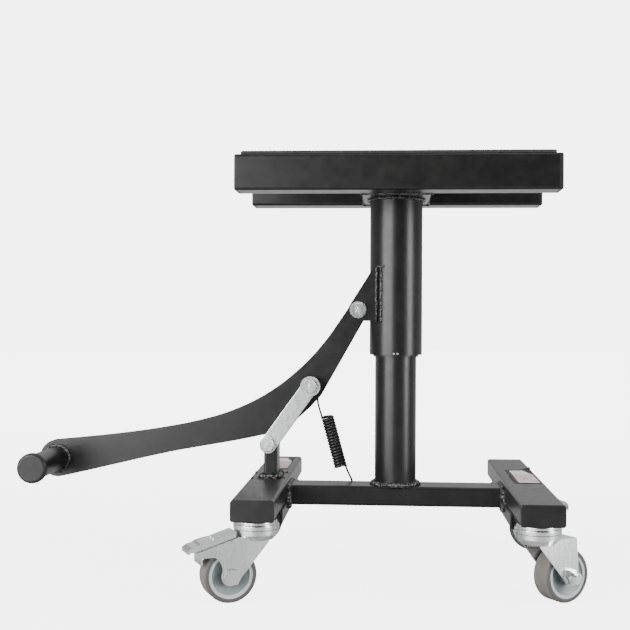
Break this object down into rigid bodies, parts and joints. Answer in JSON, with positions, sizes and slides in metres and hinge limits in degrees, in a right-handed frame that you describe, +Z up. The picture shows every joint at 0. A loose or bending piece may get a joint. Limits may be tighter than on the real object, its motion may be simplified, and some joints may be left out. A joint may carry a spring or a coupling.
{
  "type": "paddock stand",
  "caption": "Rolling lift stand: H-shaped padded platform on a telescopic column, foot lever with toggle links, return spring, two-rail base on swivel casters.",
  "frame": {"origin": "middle of the footprint box on the floor, with the stand raised; the column axis is 87.5 mm towards +X", "axes": "+X across the stand, away from the foot peg; +Y from the foot peg's free end towards the rear; +Z up"},
  "size_m": [0.5703, 0.3258, 0.4205],
  "materials": {
    "black_powder_coat": "satin",
    "zinc_plate": "satin",
    "black_plastic": "matte",
    "black_rubber": "matte",
    "grey_tread": "matte",
    "grey_hub": "satin",
    "bush_plastic": "satin",
    "spring_steel": "satin"
  },
  "bodies": {
    "base": {"rail_left": "black_powder_coat", "rail_right": "black_powder_coat", "lower_tube_left": "black_powder_coat", "lower_tube_right": "black_powder_coat", "crossbar": "black_powder_coat", "rail_end_caps": "black_plastic", "column_tube": "black_powder_coat", "column_guide_ring": "bush_plastic", "link_post": "black_powder_coat", "lower_link_bolt": "zinc_plate", "lower_link_nut": "zinc_plate", "caster_studs": "zinc_plate", "caster_spacer_rings": "black_plastic", "return_spring": "spring_steel", "caster_race_front_left": "zinc_plate", "caster_race_front_right": "zinc_plate", "caster_race_rear_left": "zinc_plate", "caster_race_rear_right": "zinc_plate"},
    "platform": {"platform_tube_front": "black_powder_coat", "platform_tube_rear": "black_powder_coat", "cross_tube_left": "black_powder_coat", "cross_tube_right": "black_powder_coat", "platform_end_caps": "black_plastic", "rubber_strip_front": "black_rubber", "rubber_strip_rear": "black_rubber", "sleeve_tube": "black_powder_coat", "sleeve_bush": "bush_plastic", "pivot_bracket_front": "black_powder_coat", "pivot_bracket_rear": "black_powder_coat", "lever_pivot_bolt": "zinc_plate", "lever_pivot_nut": "zinc_plate", "lever_pivot_spacers": "zinc_plate"},
    "lever": {"lever_plate": "black_powder_coat", "foot_peg_tube": "black_powder_coat", "foot_peg_cap": "black_plastic"},
    "links": {"link_front": "zinc_plate", "link_rear": "zinc_plate", "upper_link_bolts": "zinc_plate", "link_washers": "zinc_plate", "link_spacers": "zinc_plate"},
    "swivel_front_left": {"caster_fork_front_left": "zinc_plate", "caster_axle_front_left": "zinc_plate", "brake_pin_front_left": "zinc_plate"},
    "wheel_front_left": {"tyre_front_left": "grey_tread", "wheel_hub_front_left": "grey_hub"},
    "pedal_front_left": {"brake_pedal_front_left": "zinc_plate"},
    "swivel_front_right": {"caster_fork_front_right": "zinc_plate", "caster_axle_front_right": "zinc_plate"},
    "wheel_front_right": {"tyre_front_right": "grey_tread", "wheel_hub_front_right": "grey_hub"},
    "swivel_rear_left": {"caster_fork_rear_left": "zinc_plate", "caster_axle_rear_left": "zinc_plate"},
    "wheel_rear_left": {"tyre_rear_left": "grey_tread", "wheel_hub_rear_left": "grey_hub"},
    "swivel_rear_right": {"caster_fork_rear_right": "zinc_plate", "caster_axle_rear_right": "zinc_plate", "brake_pin_rear_right": "zinc_plate"},
    "wheel_rear_right": {"tyre_rear_right": "grey_tread", "wheel_hub_rear_right": "grey_hub"},
    "pedal_rear_right": {"brake_pedal_rear_right": "zinc_plate"}
  },
  "joints": [
    {"name": "platform_lift", "type": "slide", "parent": "base", "child": "platform", "axis": [0, 0, 1], "range_m": [-0.09, 0]},
    {"name": "lever_pivot", "type": "hinge", "parent": "platform", "child": "lever", "pos_m": [0.0491, 0, 0.2685], "axis": [0, 1, 0], "range_deg": [0, 74.52]},
    {"name": "link_pivot", "type": "hinge", "parent": "base", "child": "links", "pos_m": [-0.0425, 0, 0.13], "axis": [0, 1, 0], "range_deg": [-33.77, 0], "deforming": ["return_spring"]},
    {"name": "swivel_front_left_turn", "type": "hinge", "parent": "base", "child": "swivel_front_left", "pos_m": [-0.0415, -0.126, 0.06], "axis": [0, 0, 1], "continuous": true},
    {"name": "wheel_front_left_roll", "type": "hinge", "parent": "swivel_front_left", "child": "wheel_front_left", "pos_m": [-0.06597, -0.13741, 0.025], "axis": [-0.4226, 0.9063, 0], "continuous": true},
    {"name": "pedal_front_left_press", "type": "hinge", "parent": "swivel_front_left", "child": "pedal_front_left", "pos_m": [-0.06506, -0.13699, 0.0545], "axis": [0.4226, -0.9063, 0], "range_deg": [0, 7]},
    {"name": "swivel_front_right_turn", "type": "hinge", "parent": "base", "child": "swivel_front_right", "pos_m": [0.2165, -0.126, 0.06], "axis": [0, 0, 1], "continuous": true},
    {"name": "wheel_front_right_roll", "type": "hinge", "parent": "swivel_front_right", "child": "wheel_front_right", "pos_m": [0.23914, -0.1113, 0.025], "axis": [0.5446, -0.8387, 0], "continuous": true},
    {"name": "swivel_rear_left_turn", "type": "hinge", "parent": "base", "child": "swivel_rear_left", "pos_m": [-0.0415, 0.126, 0.06], "axis": [0, 0, 1], "continuous": true},
    {"name": "wheel_rear_left_roll", "type": "hinge", "parent": "swivel_rear_left", "child": "wheel_rear_left", "pos_m": [-0.06809, 0.13069, 0.025], "axis": [0.1736, 0.9848, 0], "continuous": true},
    {"name": "swivel_rear_right_turn", "type": "hinge", "parent": "base", "child": "swivel_rear_right", "pos_m": [0.2165, 0.126, 0.06], "axis": [0, 0, 1], "continuous": true},
    {"name": "wheel_rear_right_roll", "type": "hinge", "parent": "swivel_rear_right", "child": "wheel_rear_right", "pos_m": [0.24324, 0.12224, 0.025], "axis": [-0.1392, -0.9903, 0], "continuous": true},
    {"name": "pedal_rear_right_press", "type": "hinge", "parent": "swivel_rear_right", "child": "pedal_rear_right", "pos_m": [0.24225, 0.12238, 0.0545], "axis": [0.1392, 0.9903, 0], "range_deg": [0, 7]}
  ],
  "couplings": [
    {"joint": "lever_pivot", "follows": "platform_lift", "rad_per_m": -14.393},
    {"joint": "link_pivot", "follows": "platform_lift", "rad_per_m": 6.4899}
  ]
}
